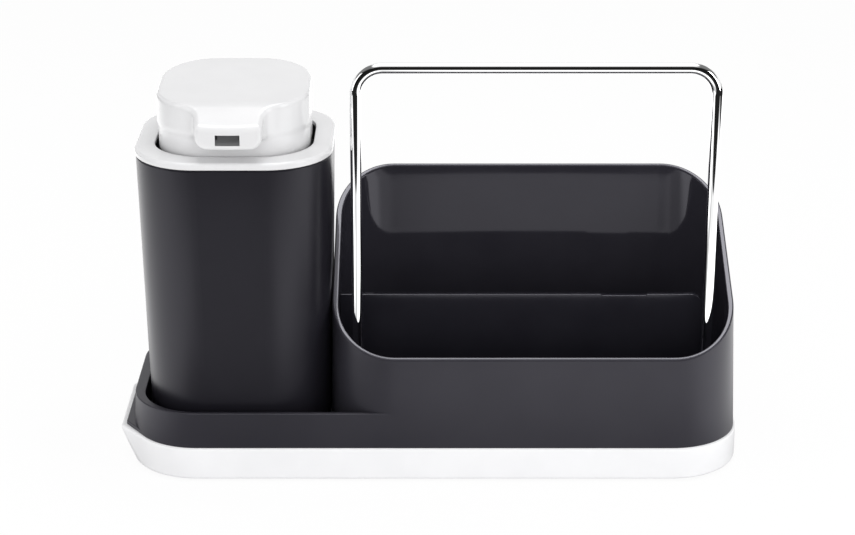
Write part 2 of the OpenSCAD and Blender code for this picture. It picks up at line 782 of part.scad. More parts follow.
drip_tray();
foot_pads();
caddy_body();
towel_rail();
divider();
bottle();
collar_ring();
pump_deck();
deck_gasket();
pump_cylinder();
cylinder_cap();
inlet_ball();
dip_tube();
return_spring();
pump_head();
spout_duct();
outlet_lip();
piston_stem();
piston_cup();
outlet_ball();
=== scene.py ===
import math

import bpy
import numpy as np
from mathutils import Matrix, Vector


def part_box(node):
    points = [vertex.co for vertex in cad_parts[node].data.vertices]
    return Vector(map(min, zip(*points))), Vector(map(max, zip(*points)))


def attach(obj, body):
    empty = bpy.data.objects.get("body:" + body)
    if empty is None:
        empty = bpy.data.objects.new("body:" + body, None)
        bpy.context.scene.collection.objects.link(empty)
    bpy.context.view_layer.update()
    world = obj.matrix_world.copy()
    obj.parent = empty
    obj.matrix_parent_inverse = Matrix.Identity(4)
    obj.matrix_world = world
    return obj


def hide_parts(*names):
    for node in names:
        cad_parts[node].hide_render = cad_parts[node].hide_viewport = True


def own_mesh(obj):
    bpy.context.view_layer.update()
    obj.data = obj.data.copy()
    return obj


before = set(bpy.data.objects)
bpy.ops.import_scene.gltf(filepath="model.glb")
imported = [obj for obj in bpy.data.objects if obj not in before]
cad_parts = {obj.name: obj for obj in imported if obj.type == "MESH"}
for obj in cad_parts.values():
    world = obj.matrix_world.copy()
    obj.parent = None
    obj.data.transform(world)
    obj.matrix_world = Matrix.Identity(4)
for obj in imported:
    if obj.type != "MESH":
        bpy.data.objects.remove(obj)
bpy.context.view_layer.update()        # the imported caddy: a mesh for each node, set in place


# Table, light and camera. The caddy stands on a white table in a white room, under a large soft
# box, with a tall soft box at each side and a weak fill from the front. The camera is 0.9 m off,
# straight in front, and looks down at it by 20.6 degrees through a long lens.
class Socket:
    """Output of a shader node. Sums and products of sockets add the nodes that do them."""

    family = "ShaderNode"

    def __init__(self, tree, socket=None):
        self.tree, self.socket = tree, socket

    def add(self, kind, settings=None, inputs=None, output=0):
        """Adds a node of that kind, sets its settings, then its inputs, and gives its output."""
        node = self.tree.nodes.new(self.family + kind)
        for name, value in (settings or {}).items():
            setattr(node, name, value)
        for name, value in (inputs or {}).items():
            found = [s for s in node.inputs if name in (s.identifier, s.name) and s.enabled]
            slot = node.inputs[name] if isinstance(name, int) else found[0]
            if isinstance(value, Socket):
                self.tree.links.new(value.socket, slot)
            else:
                slot.default_value = value
        return type(self)(self.tree, node.outputs[output] if node.outputs else None)

    def maths(self, operation, *values):
        return self.add("Math", {"operation": operation}, dict(enumerate((self, *values))))

    def __add__(self, other):
        return self.maths("ADD", other)

    def __sub__(self, other):
        return self.maths("SUBTRACT", other)

    def __rsub__(self, other):
        return (self * -1.0) + other

    def __mul__(self, other):
        return self.maths("MULTIPLY", other)

    __radd__ = __add__
    __rmul__ = __mul__

    def above(self, low, high):
        """Rises smoothly from 0 at low to 1 at high."""
        return self.add("MapRange", {"interpolation_type": "SMOOTHSTEP"},
                        {"Value": self, "From Min": low, "From Max": high})

    def tint(self, dark, light):
        """Colour between two, as this socket goes from 0 to 1."""
        return self.add("Mix", {"data_type": "RGBA"},
                        {"Factor_Float": self, "A_Color": (*dark, 1), "B_Color": (*light, 1)}, 2)


def set_in_scene(name, data):
    piece = bpy.data.objects.new(name, data)
    bpy.context.scene.collection.objects.link(piece)
    return piece


scene = bpy.context.scene
scene.view_settings.view_transform = "Standard"

look_at = Vector((-0.0005, -0.045, 0.0935))
look_down = math.radians(20.59)
camera_distance = 0.9
camera = set_in_scene("camera", bpy.data.cameras.new("camera"))
camera.data.sensor_width = 36
camera.data.lens = 95.44
camera.location = look_at + camera_distance * Vector((0, -math.cos(look_down), math.sin(look_down)))
camera.rotation_euler = (look_at - camera.location).to_track_quat("-Z", "Y").to_euler()
scene.camera = camera


def blank_material(name):
    """A material with an empty node tree, and the ink that draws its nodes."""
    made = bpy.data.materials.new(name)
    made.use_nodes = True
    made.node_tree.nodes.clear()
    return made, Socket(made.node_tree)


table_half = 3
top = [(-table_half, -table_half, 0), (table_half, -table_half, 0),
       (table_half, table_half, 0), (-table_half, table_half, 0)]
table_top = bpy.data.meshes.new("table")
table_top.from_pydata(top, [], [(0, 1, 2, 3)])
table = set_in_scene("table", table_top)
white_table, ink = blank_material("white_table")
white_table.cycles.emission_sampling = "NONE"
seen = ink.add("LightPath", output="Is Camera Ray")
mirrored = ink.add("LightPath", output="Is Glossy Ray")
through = ink.add("LightPath", output="Is Transmission Ray")
lit = ink.add("BsdfDiffuse", inputs={"Color": (0.93, 0.93, 0.93, 1)})
# What mirrors the table shows a white sheet that ends in front of the caddy and at both sides.
# Painted on it are shade close round the caddy, painted shade before the bottle, and a nearer strip of
# painted light.
# Each pair is where the change starts and ends, in metres.
sheet_front, sheet_side = (-0.378, -0.366), (0.5, 0.62)
shade_x, shade_y, shade_edge = 0.075, 0.045, (0.055, 0.115)
bottle_front_x, bottle_front_edge = -0.085, (0.03, 0.1)
strip_front = (-0.31, -0.25)
spot = ink.add("TexCoord", output="Object")
across = ink.add("SeparateXYZ", inputs={0: spot}, output="X")
spot_x = across.maths("ABSOLUTE")
spot_y = ink.add("SeparateXYZ", inputs={0: spot}, output="Y")
sheet = spot_y.above(*sheet_front) * (1.0 - spot_x.above(*sheet_side))
# painted shade round the caddy: 0 close by it, 1 clear of it
clear_of_painted_shade = (spot_x - shade_x).maths("MAXIMUM", spot_y.maths("ABSOLUTE") - shade_y).above(*shade_edge)
# painted shade on the sheet straight before the bottle: 0 there, 1 clear of it
clear_of_bottle_painted_shade = (across - bottle_front_x).maths("ABSOLUTE").above(*bottle_front_edge)
# a nearer strip of painted light, and the painted shade before the bottle
level = (1.0 + 0.9 * clear_of_bottle_painted_shade * spot_y.above(*strip_front)) * (0.65 + 0.35 * clear_of_bottle_painted_shade)
level = sheet * (0.15 + 0.85 * clear_of_painted_shade) * level
glow = ink.add("Emission", inputs={"Color": 1.0 - mirrored + mirrored * level, "Strength": 1.0})
plain_share, mirrored_share = 0.92, 0.985
share = (seen + through).maths("MINIMUM", 1.0) * plain_share + mirrored * mirrored_share
surface = ink.add("MixShader", inputs={0: share, 1: lit, 2: glow})
ink.add("OutputMaterial", inputs={"Surface": surface})
table.data.materials.append(white_table)

room = bpy.data.worlds.new("white_room")
scene.world = room
room.use_nodes = True
room.node_tree.nodes.clear()
room.cycles.sampling_method = "NONE"
ink = Socket(room.node_tree)
seen = ink.add("LightPath", output="Is Camera Ray")
mirrored = ink.add("LightPath", output="Is Glossy Ray")
way = ink.add("TexCoord", output="Generated")
way_y = ink.add("SeparateXYZ", inputs={0: way}, output="Y")
way_z = ink.add("SeparateXYZ", inputs={0: way}, output="Z")
# What mirrors the room shows its unlit end behind the camera, dimmer walls high up at both
# sides, and a bright light overhead. Everything else is lit by the same plain level.
room_level, wall_level, wall_drop, unlit_level, overhead_level = 0.66, 0.9, 0.7, 0.01, 2.6
unlit = (way_y * -1.0).above(0.1, 0.5) * (1.0 - way_z.above(0.55, 0.8))
aside = ink.add("SeparateXYZ", inputs={0: way}, output="X").maths("ABSOLUTE").above(0.25, 0.45)
aside = aside * way_z.above(0.2, 0.4)
overhead = overhead_level * way_z.above(0.88, 0.95)
shown = (wall_level - wall_drop * aside) * (1.0 - unlit) + unlit_level + overhead
level = seen + (1.0 - seen) * (room_level + mirrored * (shown - room_level))
backdrop = ink.add("Background", inputs={"Color": (1, 1, 1, 1), "Strength": level})
ink.add("OutputWorld", inputs={"Surface": backdrop})


def soft_box(name, place, target, width, height, watts, mirrored=True):
    lamp = set_in_scene(name, bpy.data.lights.new(name, "AREA"))
    lamp.data.shape = "RECTANGLE"
    lamp.data.size, lamp.data.size_y = width, height
    lamp.data.energy = watts
    lamp.location = place
    lamp.rotation_euler = (Vector(target) - Vector(place)).to_track_quat("-Z", "Y").to_euler()
    lamp.visible_glossy = mirrored


soft_box("soft_box_top", (0.03, 0.09, 1.1), (0.03, 0, 0), 0.64, 0.3, 3.6)
soft_box("front_fill", (0, -1.3, 0.45), (0, 0, 0.07), 1.2, 0.8, 5.5, mirrored=False)
soft_box("soft_box_left", (-1.0, -0.4, 0.4), (0, 0, 0.05), 0.35, 0.8, 1.5)
soft_box("soft_box_right", (1.0, -0.5, 0.4), (0, 0, 0.05), 0.35, 0.8, 3.2)


# Drip tray: a white tray under the whole caddy that catches what drips through the floor. It is
# moulded in one piece from polypropylene. Its wall runs out at the left end into a broad pouring
# lip, and its underside has a round seat for each foot pad.
mm = 0.001
body_x, half_deep = 2.35, 45
x_left, x_right = body_x - 125.5, body_x + 125.5
corner_r = 28.0
tray_z, line_z = 0.8, 14.5
tray_out = 0.9
tip_x, tip_y, tip_r = x_left - 4.2, 20.9, 1.4
quarter = np.radians([0, 22.5, 45, 67.5, 90])
coarse_quarter = np.radians([0, 30, 60, 90])


def belt(rounds, steps=24, pieces=9):
    """Outline, anticlockwise, of a belt pulled tight round some circles (x, y, radius)."""
    if len(rounds) == 1:
        x, y, r = rounds[0]
        turn = np.arange(4 * steps) * math.pi / (2 * steps)
        return np.stack([x + r * np.cos(turn), y + r * np.sin(turn)], 1)
    facing = []
    for (ax, ay, ar), (bx, by, br) in zip(rounds, rounds[1:] + rounds[:1]):
        gap = math.hypot(bx - ax, by - ay)
        facing.append(math.atan2(by - ay, bx - ax) - math.acos((ar - br) / gap))
    arcs = []
    for i, (x, y, r) in enumerate(rounds):
        start, end = facing[i - 1], facing[i]
        end += 2 * math.pi * math.ceil((start - end) / (2 * math.pi) - 1e-9)
        turn = np.linspace(start, end, steps + 1)
        arcs.append(np.stack([x + r * np.cos(turn), y + r * np.sin(turn)], 1))
    outline = []
    for i, arc in enumerate(arcs):
        a, b = arc[-1], arcs[(i + 1) % len(arcs)][0]
        share = np.concatenate([[0.01], np.linspace(0, 1, pieces + 1)[1:-1], [0.99]])[:, None]
        outline += [arc, a + (b - a) * share]
    return np.concatenate(outline)


def at_height(outline, z):
    """Outline in 3-D. The height is one number, or one for each point."""
    return np.column_stack([outline, np.broadcast_to(z, len(outline))])


def loft(name, rings, closed=False):
    """Skin over rings of as many points each, in mm. A path of rings that goes out along the
    bottom and up the outside has its faces outwards. The ends are closed by a face each."""
    count = len(rings[0])
    faces = []
    pairs = [(i, i + 1) for i in range(len(rings) - 1)] + ([(len(rings) - 1, 0)] if closed else [])
    for a, b in pairs:
        for j in range(count):
            k = (j + 1) % count
            faces.append((a * count + j, a * count + k, b * count + k, b * count + j))
    if not closed:
        faces.append(tuple(reversed(range(count))))
        faces.append(tuple(range((len(rings) - 1) * count, len(rings) * count)))
    mesh = bpy.data.meshes.new(name)
    mesh.from_pydata((np.concatenate(rings) * mm).tolist(), [], faces)
    return set_in_scene(name, mesh)


def grow(rounds, by):
    """The same circles with radii larger, or smaller, by some mm."""
    return [(x, y, r + by) for x, y, r in rounds]


def puck(name, rounds, low, high, low_edge=0.0, high_edge=0.0, steps=24):
    """A solid with one outline from low to high, and rounded edges."""
    rings = []
    if low_edge:
        for a in quarter[:-1]:
            rings.append(at_height(belt(grow(rounds, low_edge * (math.sin(a) - 1)), steps),
                                   low + low_edge * (1 - math.cos(a))))
    rings.append(at_height(belt(rounds, steps), low + low_edge))
    rings.append(at_height(belt(rounds, steps), high - high_edge))
    if high_edge:
        for a in quarter[1:]:
            rings.append(at_height(belt(grow(rounds, high_edge * (math.cos(a) - 1)), steps),
                                   high - high_edge * (1 - math.sin(a))))
    return loft(name, rings)


def as_mesh(piece):
    """Applies the piece's modifiers."""
    bpy.context.view_layer.update()
    evaluated = piece.evaluated_get(bpy.context.evaluated_depsgraph_get())
    shape = bpy.data.meshes.new_from_object(evaluated)
    old, piece.data = piece.data, shape
    piece.modifiers.clear()
    if isinstance(old, bpy.types.Mesh):
        bpy.data.meshes.remove(old)
    return piece


def join_or_cut(piece, tool, operation):
    """UNION or DIFFERENCE of a piece and a tool, which is used up."""
    step = piece.modifiers.new("step", "BOOLEAN")
    step.operation, step.solver, step.object = operation, "EXACT", tool
    as_mesh(piece)
    bpy.data.objects.remove(tool)
    return piece


def paint(mesh, material):
    """Makes that the mesh's only material."""
    mesh.materials.clear()
    mesh.materials.append(material)
    mesh.polygons.foreach_set("material_index", [0] * len(mesh.polygons))


def finish(piece, material, body, slot, *nodes, sharp=38):
    """Smooth shading between its sharp edges, the material, and its place in the model."""
    mesh = piece.data
    paint(mesh, material)
    mesh.shade_smooth()
    mesh.set_sharp_from_angle(angle=math.radians(sharp))
    step = piece.modifiers.new("even_shading", "WEIGHTED_NORMAL")
    step.keep_sharp = True
    as_mesh(piece)
    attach(piece, body)
    if nodes:
        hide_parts(*nodes)


def tray_rounds(z, inset, base_z):
    """Circles under the tray's outline at height z. The lip grows out of its left corners."""
    r = corner_r + tray_out - inset
    edge = 1.2
    if z < base_z + edge:
        r -= edge - math.sqrt(max(0.0, edge ** 2 - (base_z + edge - z) ** 2))
    out = min(1.0, max(0.002, (z - base_z - edge) / (line_z - 1.4 - base_z - edge))) ** 0.9
    corner = [(x, y) for x in (x_left + corner_r, x_right - corner_r) for y in (-17.0, 17.0)]
    (ax, ay), (bx, by), (cx, cy), (dx, dy) = corner
    tx, ty, tr = tip_x + inset, tip_y - inset / 2, tip_r
    lip = [(ax + (tx - ax) * out, s * (by + (ty - by) * out), r + (tr - r) * out) for s in (-1, 1)]
    return [(cx, cy, r), (dx, dy, r), (bx, by, r), lip[1], lip[0], (ax, ay, r)]


def tray_ring(z, inset, base_z, lift=0.0):
    return at_height(belt(tray_rounds(z, inset, base_z)), z + lift)


floor_top = tray_z + 2.0
tray_wall, outer_edge, inner_edge = 2.4, 1.0, 0.5
up_outside = (0.8, 0.85, 1.0, 1.3, 1.65, 2.0, 3, 4.5, 6, 7.5, 9, 10.5, 12, 13.1, 13.5)
down_inside = (13.1, 12, 10.5, 9, 7.5, 6, 4.5, 4.0, 3.65, 3.3, 3.0, 2.85, 2.8)
outside = [tray_ring(z, 0, tray_z) for z in up_outside]
edge = [tray_ring(line_z, outer_edge * (1 - math.cos(a)), tray_z, outer_edge * (math.sin(a) - 1))
        for a in quarter[1:]]
edge += [tray_ring(line_z, tray_wall - inner_edge * (1 - math.cos(a)), floor_top,
                   inner_edge * (math.sin(a) - 1)) for a in coarse_quarter[::-1]]
inside = [tray_ring(z, tray_wall, floor_top) for z in down_inside]
drip_tray = loft("tray_moulding", outside + edge + inside)

pads_at = [(x, y) for x in (x_left + 26, x_right - 26) for y in (-19, 19)]
for x, y in pads_at:
    join_or_cut(drip_tray, puck("seat", [(x, y, 6.05)], 0, 1.6, steps=12), "DIFFERENCE")


skin_height = 0.00002


def plastic(name, dark, light, roughness, spread, grain, bump):
    """Moulded plastic: its colour clouds a little in the mass, and its skin has a fine grain."""
    made, ink = blank_material(name)
    spot = ink.add("TexCoord", output="Object")
    cloud = ink.add("TexNoise", inputs={"Vector": spot, "Scale": 45.0, "Detail": 4.0})
    skin = ink.add("TexNoise", inputs={"Vector": spot, "Scale": grain, "Detail": 3.0})
    colour = cloud.above(0.3, 0.7).tint(dark, light)
    gloss = roughness + spread * (cloud - 0.5) + 0.25 * spread * (skin - 0.5)
    relief = ink.add("Bump", inputs={"Strength": bump, "Distance": skin_height, "Height": skin})
    shader = ink.add("BsdfPrincipled", inputs={
        "Base Color": colour, "Roughness": gloss, "Normal": relief,
        "IOR": 1.49, "Specular IOR Level": 0.5})
    ink.add("OutputMaterial", inputs={"Surface": shader})
    return made


tray_white = plastic("tray_white", (0.80, 0.80, 0.812), (0.83, 0.83, 0.842),
                     roughness=0.34, spread=0.08, grain=2600, bump=0.12)
finish(drip_tray, tray_white, "tray", "tray_white", "drip_tray")


# Foot pads: four soft rubber discs pressed into the seats under the tray, so that it neither
# slides nor rings on a stone top. One disc is repeated at the corners of a rectangle.
class Field(Socket):
    """Output of a Geometry Nodes node. Its add takes the node's whole type."""

    family = ""


def recipe(name, sizes):
    """A Geometry Nodes tree with a named input for each size, and the fields that read them."""
    tree = bpy.data.node_groups.new(name, "GeometryNodeTree")
    tree.interface.new_socket("Geometry", in_out="INPUT", socket_type="NodeSocketGeometry")
    tree.interface.new_socket("Geometry", in_out="OUTPUT", socket_type="NodeSocketGeometry")
    for size, kind in sizes.items():
        tree.interface.new_socket(size, in_out="INPUT", socket_type="NodeSocket" + kind)
    source = tree.nodes.new("NodeGroupInput")
    return tree, {s.name: Field(tree, s) for s in source.outputs if s.name}


def close_recipe(made, material):
    """Ends the tree in plain geometry with its material."""
    real = made.add("GeometryNodeRealizeInstances", inputs={0: made})
    dressed = made.add("GeometryNodeSetMaterial", inputs={"Geometry": real, "Material": material})
    end = made.tree.nodes.new("NodeGroupOutput")
    made.tree.links.new(dressed.socket, end.inputs[0])


def make_by(piece, tree, sizes):
    """Runs the tree on the piece with those sizes, and leaves a plain mesh."""
    step = piece.modifiers.new("recipe", "NODES")
    step.node_group = tree
    for item in tree.interface.items_tree:
        if item.item_type == "SOCKET" and item.name in sizes:
            step[item.identifier] = sizes[item.name]
    return as_mesh(piece)


def repeat_on_grid(name, material):
    """Tree that repeats a piece at the crossings of a grid."""
    tree, size = recipe(name, {"Length": "Float", "Width": "Float", "Columns": "Int",
                               "Rows": "Int", "Centre": "Vector"})
    field = size["Geometry"]
    grid = field.add("GeometryNodeMeshGrid", inputs={
        "Size X": size["Length"], "Size Y": size["Width"],
        "Vertices X": size["Columns"], "Vertices Y": size["Rows"]})
    placed = field.add("GeometryNodeTransform", inputs={
        "Geometry": grid, "Translation": size["Centre"]})
    copies = field.add("GeometryNodeInstanceOnPoints", inputs={
        "Points": placed, "Instance": size["Geometry"]})
    close_recipe(copies, material)
    return tree


pad_rubber = plastic("pad_rubber", (0.42, 0.42, 0.42), (0.48, 0.48, 0.47),
                     roughness=0.72, spread=0.1, grain=1800, bump=0.3)
on_grid = repeat_on_grid("repeat_pads", pad_rubber)
foot_pads = puck("pad_set", [(0, 0, 6.0)], 0, 1.6, 0.35, 0.1, steps=12)
make_by(foot_pads, on_grid, {"Length": 0.199, "Width": 0.038, "Columns": 2, "Rows": 2,
                             "Centre": (body_x * mm, 0, 0)})
finish(foot_pads, pad_rubber, "tray", "pad_rubber", "foot_pads")


# Caddy body: one moulding in charcoal plastic that sits in the tray's edge. Its left half is a
# low bay for the bottle, its right half a tall basket whose rim slopes up to the back. The
# outside is satin and the basket's inside is polished, as the two halves of its mould are.
lean = math.tan(math.radians(2.4))
rise = math.tan(math.radians(32.0))
floor_z, bay_top, bay_wall = 16.9, 29.5, 2.4
bottle_x = x_left + 4.6 + 2.3 + 37.6
basket_x = bottle_x + 37.6 + 0.4
basket_mid = (basket_x + x_right) / 2
left_lean = 2.0 / 114.9
rim_front = 37.3
rod_xs, rod_y = (basket_x + 11.4, x_right - 13.4), -22.0


def four(x0, x1, y0, y1, r):
    return [(x1 - r, y0 + r, r), (x1 - r, y1 - r, r), (x0 + r, y1 - r, r), (x0 + r, y0 + r, r)]


def bay_outside(z, inset=0.0):
    k = (z - line_z) * lean + inset
    return four(x_left + k, basket_mid + 8,
                -half_deep + k + 0.03, half_deep - inset - 0.03, corner_r - k)


def bay_inside(z, inset=0.0):
    k = (z - line_z) * lean + inset
    return four(x_left + k + 4.6, basket_mid,
                -half_deep + k + bay_wall, half_deep - inset - bay_wall, 23.6 - k)


def basket_outside(z, inset=0.0):
    up = z - line_z
    k = up * lean + inset
    return four(basket_x + up * left_lean + inset, x_right - k,
                -half_deep + k, half_deep - inset, corner_r - k)


def basket_inside(z, inset=0.0):
    """The inside opens towards the top, for its mould to come out, so the wall thins upwards."""
    up = z - line_z
    k = up * 0.030 + 3.1 + inset
    left = basket_x + up * left_lean + 2.6 + inset
    return four(left, x_right - k, -half_deep + 2.5 + 0.016 * up + inset,
                39.4 + 0.0454 * up - inset, corner_r - k)


def wall_rings(outer, inner, top, tilt, edge, levels):
    """Rings up the outside of a wall, over its rounded edge and down its inside. The top edge
    stands at height top on the front wall, and rises towards the back by tilt."""
    def rim_points(shape):
        low, high = belt(shape(line_z)), belt(shape(line_z + 100))
        drift = (high - low) / 100
        up = (top + (low[:, 1] + half_deep) * tilt) / (1 - drift[:, 1] * tilt)
        return low, drift, up

    def ring(shape, share=1.0, drop=0.0, step_in=0.0):
        low, drift, up = rim_points(shape)
        t = (up - edge) * share if share < 1 else up - drop
        here = low + drift * t[:, None]
        ahead = np.roll(low, -1, 0) - np.roll(low, 1, 0)
        inward = np.stack([-ahead[:, 1], ahead[:, 0]], 1) / np.linalg.norm(ahead, axis=1)[:, None]
        return np.column_stack([here + inward * step_in, line_z + t + inward[:, 1] * step_in * tilt])

    rings = [ring(outer, s) for s in np.linspace(0, 1, levels + 1)[:-1]]
    rings += [ring(outer, 1, edge * (1 - math.sin(a)), edge * (1 - math.cos(a))) for a in quarter]
    rings += [ring(inner, 1, edge * (1 - math.sin(a)), -edge * (1 - math.cos(a)))
              for a in quarter[::-1]]
    return rings, ring


def bowl(inner, floor, fillet):
    """Rings from the foot of an inner wall, round its fillet and on to the floor."""
    return [at_height(belt(inner(floor + fillet * (1 - math.sin(a)), fillet * (1 - math.cos(a)))),
                      floor + fillet * (1 - math.sin(a))) for a in quarter]


bay_rings, _ = wall_rings(bay_outside, bay_inside, bay_top - line_z, 0.0, 0.5, 4)
bay_rings[0][:, 2] += 0.03
caddy_body = loft("body_moulding", bay_rings + bowl(bay_inside, floor_z, 1.6))
basket_room = loft("basket_room", [at_height(belt(basket_outside(z, 1.2)), z)
                                   for z in (line_z - 2, line_z + 60)])
join_or_cut(caddy_body, basket_room, "DIFFERENCE")

outside_levels = 10
basket_rings, rim_ring = wall_rings(basket_outside, basket_inside, rim_front, rise, 0.6, outside_levels)
basket_rings += [rim_ring(basket_inside, s) for s in np.linspace(0.96, 0.64, 9)]
basket_rings += [rim_ring(basket_inside, s) for s in (0.55, 0.45, 0.35, 0.25, 0.2)]
basket_rings += bowl(basket_inside, floor_z, 2.0)
back_top, bend_depth = 104.8, 27.6
for ring in basket_rings[outside_levels + len(quarter):]:
    # the back wall stands steeper at its top than lower down, and more so towards its corners
    below = np.maximum(back_top - ring[:, 2], 0)
    lower = 0.655 + 0.0475 * (below - bend_depth)
    curved = np.where(below < bend_depth, 0.00086 * below ** 2, lower) - 0.0214 * below
    aside = np.clip(np.abs(ring[:, 0] - basket_mid) / 70, 0, 1) ** 2
    back = np.clip((ring[:, 1] - 12) / 22, 0, 1)
    ring[:, 1] -= (curved + 0.010 * aside * below) * back
basket = loft("basket", basket_rings)
join_or_cut(caddy_body, basket, "UNION")

beak_rounds = [(x_left + 28, -17, 27.9), (x_left + 28, 17, 27.9),
               (x_left - 1.9, 20.45, 1.4), (x_left - 1.9, -20.45, 1.4)]
join_or_cut(caddy_body, puck("beak", beak_rounds, line_z + 0.06, line_z + 1.6, 0.0, 0.4), "UNION")

divider_y = -6.4
divider_left = basket_x + 1.7 + (rim_front + (half_deep + divider_y) * rise) * left_lean + 1.0
divider_right = x_right - 13.9
in_floor = 15.7
rib_right, rib_left = divider_right - 5.4, divider_left + 5.4
for y in (divider_y - 2.4, divider_y + 2.4):
    rib = [(rib_right, y - 0.4, 0.4), (rib_right, y + 0.4, 0.4),
           (rib_left, y + 0.4, 0.4), (rib_left, y - 0.4, 0.4)]
    join_or_cut(caddy_body, puck("rib", rib, in_floor, 18.9, 0, 0.35, steps=4), "UNION")
for x in rod_xs:
    boss = puck("boss", [(x, rod_y, 4.5)], in_floor, 28.9, 0, 0.6, steps=12)
    join_or_cut(caddy_body, boss, "UNION")
    bore = puck("bore", [(x, rod_y, 2.25)], floor_z, 32, steps=12)
    join_or_cut(caddy_body, bore, "DIFFERENCE")
# the lugs that hold the body in the tray, three on each long side and one at the right end
lug_y, lug_half = half_deep - 1.9 - 0.9, 5.3
lugs = []
for x in (x_left + 36, body_x, x_right - 36):
    for y in (-lug_y, lug_y):
        lugs.append([(x + lug_half, y - 0.5, 0.4), (x + lug_half, y + 0.5, 0.4),
                     (x - lug_half, y + 0.5, 0.4), (x - lug_half, y - 0.5, 0.4)])
lugs.append([(x_right - 2.3, -5.4, 0.4), (x_right - 2.3, 5.4, 0.4),
             (x_right - 3.3, 5.4, 0.4), (x_right - 3.3, -5.4, 0.4)])
for lug in lugs:
    join_or_cut(caddy_body, puck("lug", lug, line_z - 2.2, in_floor, 0.35, 0, steps=4), "UNION")

drain_tree = repeat_on_grid("repeat_drains", pad_rubber)
for middle, columns in ((basket_mid, 5), (bottle_x, 2)):
    slots = puck("slots", [(0, -6.5, 1.5), (0, 6.5, 1.5)], 0, 5, steps=8)
    make_by(slots, drain_tree, {"Length": 0.024 * (columns - 1), "Width": 0.045, "Columns": columns,
                                "Rows": 2, "Centre": (middle * mm, 0, 0.0135)})
    join_or_cut(caddy_body, slots, "DIFFERENCE")

place = np.zeros(len(caddy_body.data.vertices) * 3)
caddy_body.data.vertices.foreach_get("co", place)
place = place.reshape(-1, 3) * 1000


def depth_inside(place, shape):
    """How far each point stands inside the four-cornered outline at its own height, in mm."""
    low, high = np.array(shape(line_z)), np.array(shape(line_z + 100))
    share = ((place[:, 2] - line_z) / 100)[:, None, None]
    at = low + (high - low) * share
    x1, y0 = at[:, 0, 0] + at[:, 0, 2], at[:, 0, 1] - at[:, 0, 2]
    x0, y1 = at[:, 2, 0] - at[:, 2, 2], at[:, 2, 1] + at[:, 2, 2]
    r = at[:, 0, 2]
    across = np.abs(place[:, 0] - (x0 + x1) / 2) - (x1 - x0) / 2 + r
    along = np.abs(place[:, 1] - (y0 + y1) / 2) - (y1 - y0) / 2 + r
    beyond = np.hypot(np.maximum(across, 0), np.maximum(along, 0))
    return r - beyond - np.minimum(np.maximum(across, along), 0)


inside_wall = np.clip((depth_inside(place, basket_outside) - 0.2) / 0.4, 0, 1)
above_floor = np.clip((place[:, 2] - floor_z - 1) / 6, 0, 1)
polished = inside_wall * above_floor
caddy_body.data.attributes.new("polished", "FLOAT", "POINT").data.foreach_set("value", polished)


def charcoal(name, dark, light, satin, polish, grain, bump, sheen=0.5):
    """Charcoal plastic whose satin skin turns polished where the attribute says so."""
    made, ink = blank_material(name)
    spot = ink.add("TexCoord", output="Object")
    smooth = ink.add("Attribute", {"attribute_name": "polished"}, output="Fac")
    cloud = ink.add("TexNoise", inputs={"Vector": spot, "Scale": 38.0, "Detail": 5.0})
    skin = ink.add("TexNoise", inputs={"Vector": spot, "Scale": grain, "Detail": 2.0})
    colour = cloud.above(0.25, 0.75).tint(dark, light)
    gloss = satin + (polish - satin) * smooth + 0.05 * (cloud - 0.5)
    relief = ink.add("Bump", inputs={
        "Strength": bump, "Distance": skin_height, "Height": skin * (1.0 - 0.9 * smooth)})
    shader = ink.add("BsdfPrincipled", inputs={
        "Base Color": colour, "Roughness": gloss, "Normal": relief,
        "IOR": 1.5, "Specular IOR Level": sheen, "Specular Tint": (0.96, 0.95, 1.04, 1)})
    ink.add("OutputMaterial", inputs={"Surface": shader})
    return made


body_dark = charcoal("body_dark", (0.0205, 0.0195, 0.0255), (0.0245, 0.0235, 0.030),
                     satin=0.40, polish=0.06, grain=3200, bump=0.25, sheen=0.42)
finish(caddy_body, body_dark, "caddy", "body_dark", "caddy_body")


# Towel rail: a 4.4 mm steel rod, bent twice into a gate and chromed. Its legs are pressed into
# the two sockets on the basket's floor, and its top bar holds a folded cloth.
rail_chrome, ink = blank_material("rail_chrome")
spot = ink.add("TexCoord", output="Object")
smudge = ink.add("TexNoise", inputs={"Vector": spot, "Scale": 70.0, "Detail": 5.0})
colour = smudge.tint((0.92, 0.925, 0.93), (0.96, 0.96, 0.96))
shader = ink.add("BsdfPrincipled", inputs={
    "Base Color": colour, "Metallic": 1.0, "Roughness": 0.02 + 0.06 * smudge.above(0.45, 0.9)})
ink.add("OutputMaterial", inputs={"Surface": shader})

tree, size = recipe("bent_rod", {"Rod Diameter": "Float", "Bend Radius": "Float"})
field = size["Geometry"]
straight = field.add("GeometryNodeMeshToCurve", inputs={0: size["Geometry"]})
bent = field.add("GeometryNodeFilletCurve", {"mode": "POLY"}, {
    "Curve": straight, "Radius": size["Bend Radius"], "Count": 28})
half = field.add("ShaderNodeMath", {"operation": "MULTIPLY"}, {0: size["Rod Diameter"], 1: 0.5})
section = field.add("GeometryNodeCurvePrimitiveCircle", inputs={"Resolution": 40, "Radius": half})
rod = field.add("GeometryNodeCurveToMesh", inputs={
    "Curve": bent, "Profile Curve": section, "Fill Caps": True})
close_recipe(rod, rail_chrome)

rod_d = 4.4
rail_z, rail_foot = line_z + 156.7 - rod_d / 2, 17.2
stops = [(rod_xs[0], rail_foot), (rod_xs[0], rail_z), (rod_xs[1], rail_z), (rod_xs[1], rail_foot)]
route = bpy.data.meshes.new("rail_rod")
route.from_pydata([(x * mm, rod_y * mm, z * mm) for x, z in stops], [(0, 1), (1, 2), (2, 3)], [])
towel_rail = set_in_scene("rail_rod", route)
make_by(towel_rail, tree, {"Rod Diameter": rod_d * mm, "Bend Radius": 0.011})
finish(towel_rail, rail_chrome, "caddy", "rail_chrome", "towel_rail", sharp=60)


